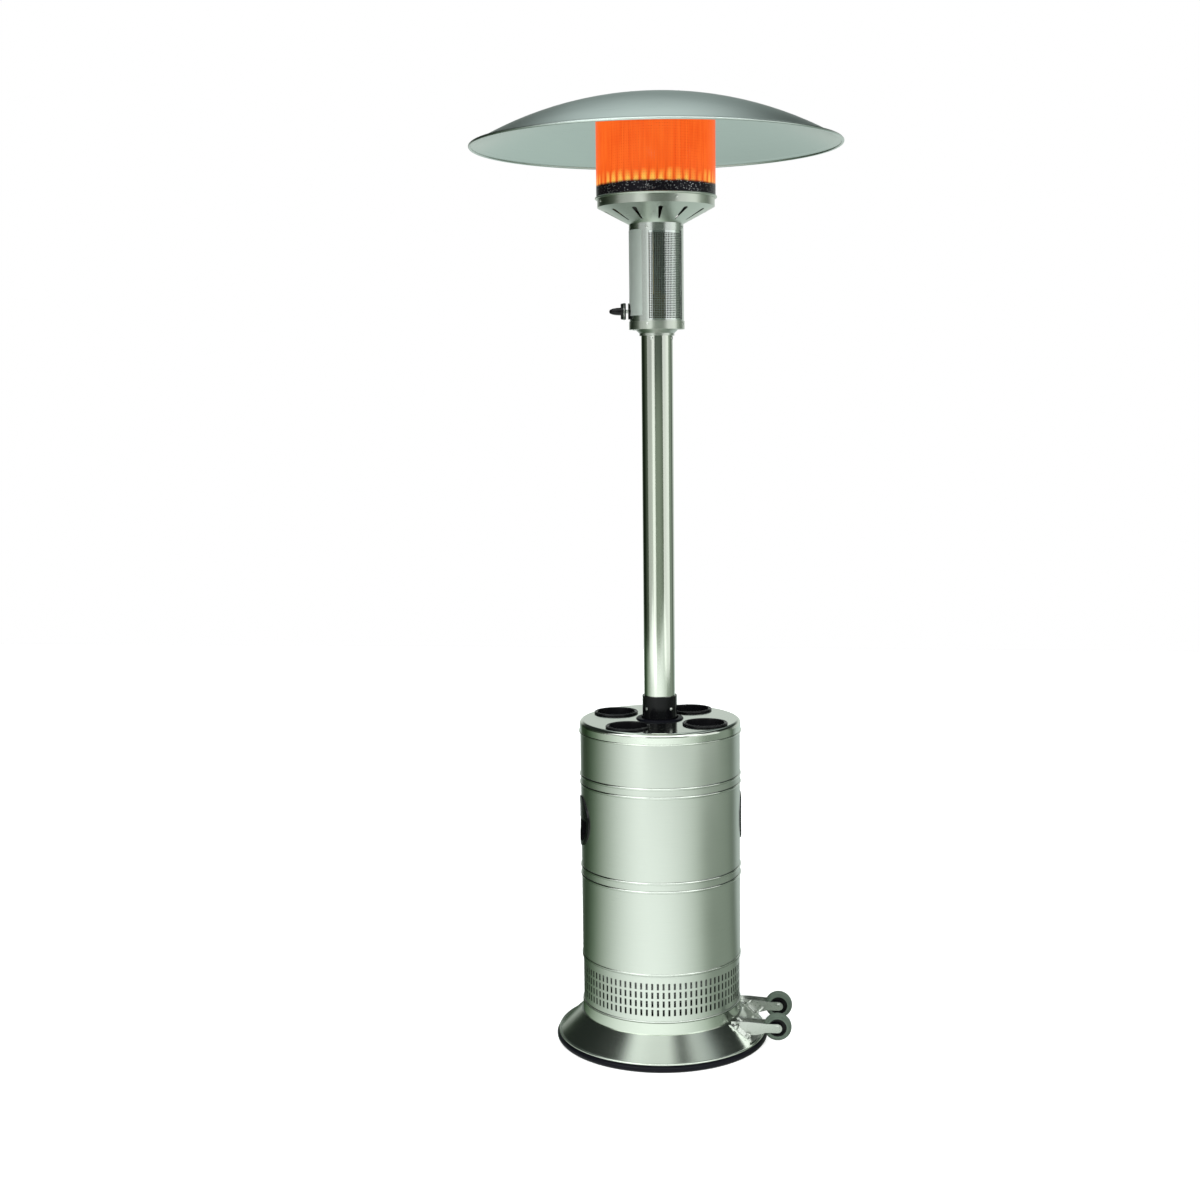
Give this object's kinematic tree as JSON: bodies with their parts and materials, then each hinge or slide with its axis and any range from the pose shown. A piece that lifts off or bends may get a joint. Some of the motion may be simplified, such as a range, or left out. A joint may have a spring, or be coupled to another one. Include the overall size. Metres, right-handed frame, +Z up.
{
  "type": "propane patio heater",
  "caption": "Tall gas patio heater: wheeled round foot, lift-up cover with cup holders over a cylinder, post, glowing burner head and domed reflector.",
  "frame": {"origin": "on the floor at the axis of the post", "axes": "+Z up along the post, +X towards the wheels, so that the picture's viewer stands at -Y"},
  "size_m": [0.8381, 0.8382, 2.1812],
  "materials": {
    "stainless": "satin stainless steel",
    "polished": "bright polished stainless steel",
    "galvanised": "plain zinc-plated steel, hidden inside",
    "black_plastic": "moulded black plastic, soft sheen",
    "black_paint": "black painted steel, satin",
    "rubber": "black rubber",
    "tyre": "grey-green rubber tyre",
    "fasteners": "bright plated screws, bolts and nuts",
    "brass": "plain brass",
    "grey_casting": "plain die casting",
    "burnt_steel": "heat-tinted stainless steel",
    "ceramic": "white insulator with a wire tip",
    "glow": "stainless mesh glowing orange over the flame",
    "tank_paint": "pale grey enamel"
  },
  "bodies": {
    "frame": {"base_trim": "rubber", "base_pan": "stainless", "base_stiffener": "galvanised", "vent_band": "stainless", "cylinder_seat": "galvanised", "leg_1": "galvanised", "leg_2": "galvanised", "leg_3": "galvanised", "bridge": "galvanised", "post_socket": "black_paint", "frame_bolts": "fasteners", "post": "polished", "post_screws": "fasteners", "neck_adapter": "stainless", "caster_fork_front": "polished", "caster_fork_rear": "polished", "caster_bolts": "fasteners", "axle_bolts": "fasteners", "housing_base": "stainless", "housing_shell": "stainless", "window_guard": "stainless", "head_screws": "fasteners", "knob_bezel": "black_paint", "gas_valve": "brass", "venturi": "burnt_steel", "burner": "burnt_steel", "pilot_burner": "brass", "thermocouple": "brass", "igniter_electrode": "ceramic", "tilt_switch": "black_plastic", "burner_bowl": "stainless", "emitter_screen": "glow", "emitter_cap": "burnt_steel", "reflector": "polished", "reflector_studs": "fasteners", "reflector_nuts": "fasteners", "gas_cylinder": "tank_paint", "cylinder_valve": "brass", "coupling_nut": "black_plastic", "regulator": "grey_casting", "gas_hose": "rubber"},
    "cover": {"cover_shell": "stainless", "cover_lid": "polished", "lid_grommet": "rubber", "cup_holder_1": "black_plastic", "cup_holder_2": "black_plastic", "cup_holder_3": "black_plastic", "cup_holder_4": "black_plastic", "hand_grip_1": "black_plastic", "hand_grip_2": "black_plastic"},
    "stem_slider": {"stem_collar": "galvanised"},
    "knob": {"valve_stem": "galvanised", "control_knob": "black_plastic"},
    "wheel_front": {"tyre_front": "tyre", "hub_front": "black_plastic"},
    "wheel_rear": {"tyre_rear": "tyre", "hub_rear": "black_plastic"},
    "handwheel": {"handwheel": "black_plastic"}
  },
  "joints": [
    {"name": "cover_lift", "type": "slide", "parent": "frame", "child": "cover", "axis": [0, 0, 1], "range_m": [0, 0.86]},
    {"name": "knob_push", "type": "slide", "parent": "frame", "child": "stem_slider", "axis": [0.9925, 0.1219, 0], "range_m": [0, 0.004], "stiffness_N_per_m": 500},
    {"name": "knob_turn", "type": "hinge", "parent": "stem_slider", "child": "knob", "pos_m": [0, 0, 1.7005], "axis": [-0.9925, -0.1219, 0], "range_deg": [0, 180]},
    {"name": "wheel_front_spin", "type": "hinge", "parent": "frame", "child": "wheel_front", "pos_m": [0.275, -0.073, 0.053], "axis": [0, 1, 0], "continuous": true},
    {"name": "wheel_rear_spin", "type": "hinge", "parent": "frame", "child": "wheel_rear", "pos_m": [0.275, 0.073, 0.053], "axis": [0, 1, 0], "continuous": true},
    {"name": "handwheel_turn", "type": "hinge", "parent": "frame", "child": "handwheel", "pos_m": [0, 0, 0.519], "axis": [0, 0, 1], "range_deg": [0, 720]}
  ]
}
